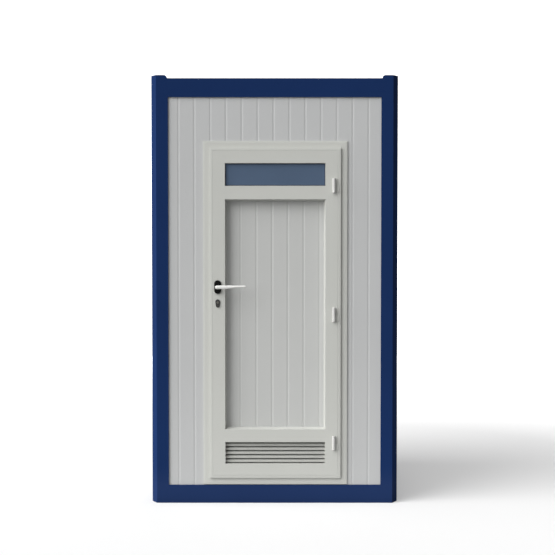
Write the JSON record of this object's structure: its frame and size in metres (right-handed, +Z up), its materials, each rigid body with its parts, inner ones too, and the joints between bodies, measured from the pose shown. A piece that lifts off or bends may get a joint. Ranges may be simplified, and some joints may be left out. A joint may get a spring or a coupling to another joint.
{
  "type": "panel toilet cabin",
  "caption": "Steel-framed toilet cabin with grooved sandwich-panel walls, an outward-opening plastic door with fanlight and louvre, and a toilet, basin and lamp inside.",
  "frame": {"origin": "on the ground at the middle of the cabin's plan, which is the middle of its four anchor holes", "axes": "+Z up, +X to the right of someone facing the door, +Y from the door towards the rear wall"},
  "size_m": [1.36, 1.453, 2.356],
  "materials": {
    "frame_paint": "satin blue paint on folded steel",
    "panel_paint": "light grey coated steel sheet",
    "roof_sheet": "light grey coated steel sheet",
    "trim_paint": "light grey coated steel trim",
    "floor_wood": "waterproof plywood",
    "vinyl": "grey floor vinyl",
    "door_plastic": "light grey door profile, low sheen",
    "infill_sheet": "light grey coated steel sheet",
    "fanlight": "grey-blue obscure glass",
    "seal_rubber": "grey door seal",
    "white_paint": "white powder coat",
    "lever_paint": "white powder coat on cast alloy",
    "lock_steel": "zinc-plated steel",
    "lock_brass": "nickel-plated brass",
    "black_plastic": "black handle plate",
    "dark_metal": "dark grey escutcheon",
    "ceramic": "white glaze",
    "seat_plastic": "white moulded seat",
    "chrome": "polished chrome plate",
    "drain_plastic": "grey drain pipe",
    "mirror_glass": "silvered glass",
    "white_plastic": "white moulded plastic",
    "paper": "soft white paper",
    "lamp_opal": "opal lamp bowl",
    "grey_plastic": "grey cable gland"
  },
  "bodies": {
    "cabin": {"corner_posts_front": "frame_paint", "corner_posts_rear": "frame_paint", "base_beams": "frame_paint", "roof_beams": "frame_paint", "floor_joists": "frame_paint", "foot_plates": "frame_paint", "corner_caps": "frame_paint", "wall_panel_left": "panel_paint", "wall_panel_right": "panel_paint", "wall_panel_rear": "panel_paint", "front_panel_left": "panel_paint", "front_panel_right": "panel_paint", "front_panel_header": "panel_paint", "roof_panel": "roof_sheet", "ceiling_trims": "trim_paint", "floor_board": "floor_wood", "floor_vinyl": "vinyl", "door_frame": "door_plastic", "door_seals": "seal_rubber", "strike_plate": "lock_steel", "hinge_frame_knuckles": "white_paint", "hinge_pins": "lock_steel", "toilet_pan": "ceramic", "cistern": "ceramic", "cistern_lid": "ceramic", "seat_hinges": "chrome", "soil_pipe": "drain_plastic", "basin": "ceramic", "basin_trap": "chrome", "tap_body": "chrome", "mirror": "mirror_glass", "paper_holder": "white_plastic", "lamp_base": "white_plastic", "lamp_diffuser": "lamp_opal", "switch_plate": "white_plastic", "water_inlet": "lock_brass", "power_gland": "grey_plastic"},
    "door": {"leaf_stiles": "door_plastic", "leaf_rails": "door_plastic", "fanlight_glass": "fanlight", "glazing_beads": "door_plastic", "infill_panel": "infill_sheet", "louvre_frame": "door_plastic", "louvre_blades": "door_plastic", "hinge_leaf_knuckles": "white_paint", "lock_case": "lock_steel", "rosettes": "black_plastic", "escutcheons": "dark_metal", "lock_cylinder": "lock_brass"},
    "lever": {"levers": "lever_paint", "spindle": "lock_steel"},
    "latch": {"latch_bolt": "lock_steel"},
    "bolt": {"dead_bolt": "lock_steel"},
    "key": {"cylinder_plug": "lock_brass"},
    "seat": {"toilet_seat": "seat_plastic"},
    "lid": {"toilet_lid": "seat_plastic"},
    "flush": {"flush_button": "chrome"},
    "tap": {"tap_lever": "chrome"},
    "roll": {"paper_roll": "paper"},
    "rocker": {"switch_rocker": "white_plastic"}
  },
  "joints": [
    {"name": "door_swing", "type": "hinge", "parent": "cabin", "child": "door", "pos_m": [0.325, -0.697, 1.044], "axis": [0, 0, 1], "range_deg": [0, 165]},
    {"name": "lever_turn", "type": "hinge", "parent": "door", "child": "lever", "pos_m": [-0.313, -0.657, 1.196], "axis": [0, 1, 0], "range_deg": [0, 40], "stiffness_Nm_per_rad": 1.4, "springref_deg": -34.38},
    {"name": "latch_slide", "type": "slide", "parent": "door", "child": "latch", "axis": [1, 0, 0], "range_m": [0, 0.011]},
    {"name": "key_turn", "type": "hinge", "parent": "door", "child": "key", "pos_m": [-0.313, -0.657, 1.111], "axis": [0, 1, 0], "range_deg": [0, 360]},
    {"name": "bolt_throw", "type": "slide", "parent": "door", "child": "bolt", "axis": [-1, 0, 0], "range_m": [0, 0.012]},
    {"name": "seat_lift", "type": "hinge", "parent": "cabin", "child": "seat", "pos_m": [0.16, 0.394, 0.516], "axis": [-1, 0, 0], "range_deg": [0, 90]},
    {"name": "lid_close", "type": "hinge", "parent": "cabin", "child": "lid", "pos_m": [0.16, 0.394, 0.516], "axis": [-1, 0, 0], "range_deg": [-93, 0]},
    {"name": "flush_press", "type": "slide", "parent": "cabin", "child": "flush", "axis": [0, 0, -1], "range_m": [0, 0.005], "stiffness_N_per_m": 600, "springref_m": -0.004},
    {"name": "tap_turn", "type": "hinge", "parent": "cabin", "child": "tap", "pos_m": [-0.58, 0.12, 1.02], "axis": [0, 0, 1], "range_deg": [0, 90]},
    {"name": "roll_spin", "type": "hinge", "parent": "cabin", "child": "roll", "pos_m": [0.544, 0.15, 0.8], "axis": [0, 1, 0], "continuous": true},
    {"name": "switch_rock", "type": "hinge", "parent": "cabin", "child": "rocker", "pos_m": [-0.48, -0.6125, 1.25], "axis": [-1, 0, 0], "range_deg": [0, 10]}
  ],
  "couplings": [
    {"joint": "latch_slide", "follows": "lever_turn", "m_per_rad": 0.0156},
    {"joint": "key_turn", "follows": "bolt_throw", "rad_per_m": 523.5}
  ]
}
